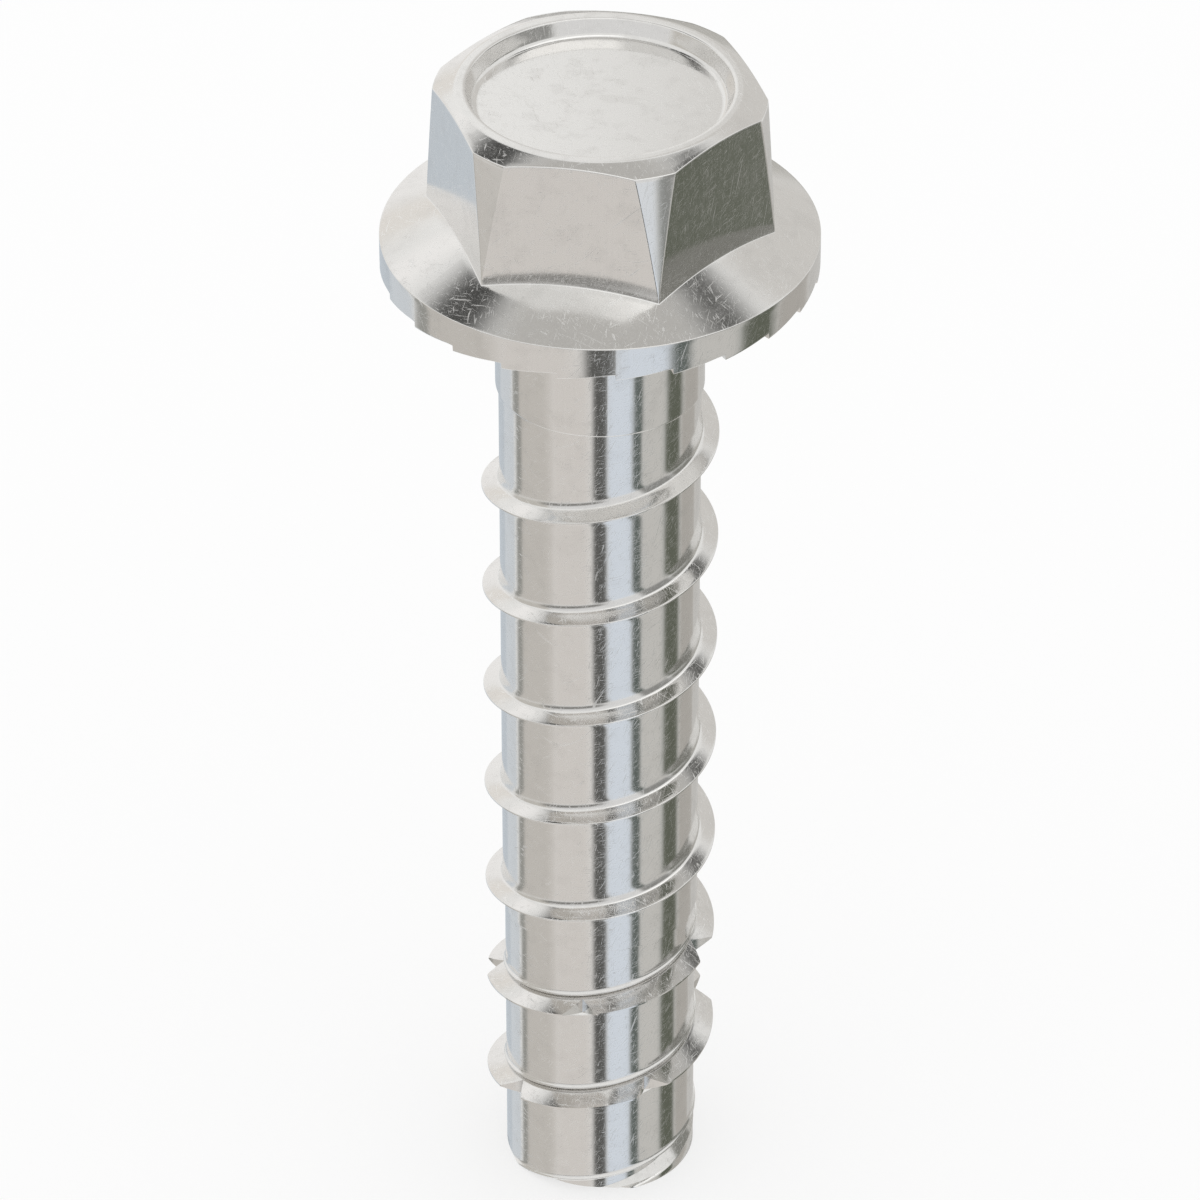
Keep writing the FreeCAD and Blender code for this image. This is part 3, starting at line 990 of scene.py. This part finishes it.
# %% [markdown]
# ## Floor and world
#
# The floor is a plain white sheet that keeps the screw's soft shadow. Seen directly it also glows by
# itself, so that it nearly melts into the background, and the screw's reflections don't see it at all.
# The world is an even white, so the background is white too.

# %% Floor and world
FLOOR_HALF = 3
PAPER_WHITE = 0.97
GLOW_SHARE = 0.6

floor_mesh = bpy.data.meshes.new("floor")
floor_corners = [(x * FLOOR_HALF, y * FLOOR_HALF, 0) for x, y in ((-1, -1), (1, -1), (1, 1), (-1, 1))]
floor_mesh.from_pydata(floor_corners, [], [(0, 1, 2, 3)])
floor_material = bpy.data.materials.new("white_floor")
floor_material.use_nodes = True
floor_tree = floor_material.node_tree
floor_shader = floor_tree.nodes["Principled BSDF"]
floor_shader.inputs["Base Color"].default_value = (PAPER_WHITE, PAPER_WHITE, PAPER_WHITE, 1)
floor_shader.inputs["Roughness"].default_value = 1.0
floor_shader.inputs["Specular IOR Level"].default_value = 0.0
paper_glow = floor_tree.nodes.new("ShaderNodeEmission")
paper_glow.inputs["Color"].default_value = (1, 1, 1, 1)
paper_glow.inputs["Strength"].default_value = 1.0
seen_directly = floor_tree.nodes.new("ShaderNodeLightPath")
glow_share = floor_tree.nodes.new("ShaderNodeMath")
glow_share.operation = "MULTIPLY"
glow_share.inputs[1].default_value = GLOW_SHARE
paper = floor_tree.nodes.new("ShaderNodeMixShader")
floor_tree.links.new(seen_directly.outputs["Is Camera Ray"], glow_share.inputs[0])
floor_tree.links.new(glow_share.outputs["Value"], paper.inputs["Fac"])
floor_tree.links.new(floor_shader.outputs["BSDF"], paper.inputs[1])
floor_tree.links.new(paper_glow.outputs["Emission"], paper.inputs[2])
floor_tree.links.new(paper.outputs["Shader"], floor_tree.nodes["Material Output"].inputs["Surface"])
floor_mesh.materials.append(floor_material)
floor = bpy.data.objects.new("floor", floor_mesh)
bpy.context.scene.collection.objects.link(floor)
floor.visible_glossy = False

world = bpy.data.worlds.new("white_world")
bpy.context.scene.world = world
world.use_nodes = True
world.node_tree.nodes["Background"].inputs["Color"].default_value = (1, 1, 1, 1)
world.node_tree.nodes["Background"].inputs["Strength"].default_value = 1.0
print("floor", 2 * FLOOR_HALF, "m wide, and a white world")

# %% [markdown]
# ## Camera
#
# The camera stands where the photographer's did: a long lens, eleven degrees to the right of straight
# on and about thirty-five degrees above the horizon.

# %% Camera
CAMERA_AZIMUTH = math.radians(11.0)
CAMERA_ELEVATION = math.radians(34.83)
CAMERA_DISTANCE = 0.35367
AIM_HEIGHT = 0.03298
LENS = 220.3
SENSOR_WIDTH = 36.0

camera_data = bpy.data.cameras.new("camera")
camera_data.lens = LENS
camera_data.sensor_width = SENSOR_WIDTH
camera_data.clip_start = 0.01
camera_data.clip_end = 10.0
camera = bpy.data.objects.new("camera", camera_data)
bpy.context.scene.collection.objects.link(camera)
back = np.array([math.sin(CAMERA_AZIMUTH) * math.cos(CAMERA_ELEVATION),
                 -math.cos(CAMERA_AZIMUTH) * math.cos(CAMERA_ELEVATION), math.sin(CAMERA_ELEVATION)])
camera.location = back * CAMERA_DISTANCE + np.array([0, 0, AIM_HEIGHT])
camera.rotation_euler = (math.pi / 2 - CAMERA_ELEVATION, 0, CAMERA_AZIMUTH)
bpy.context.scene.camera = camera
bpy.context.scene.view_settings.view_transform = "Standard"
print("camera at", [round(v, 4) for v in camera.location])
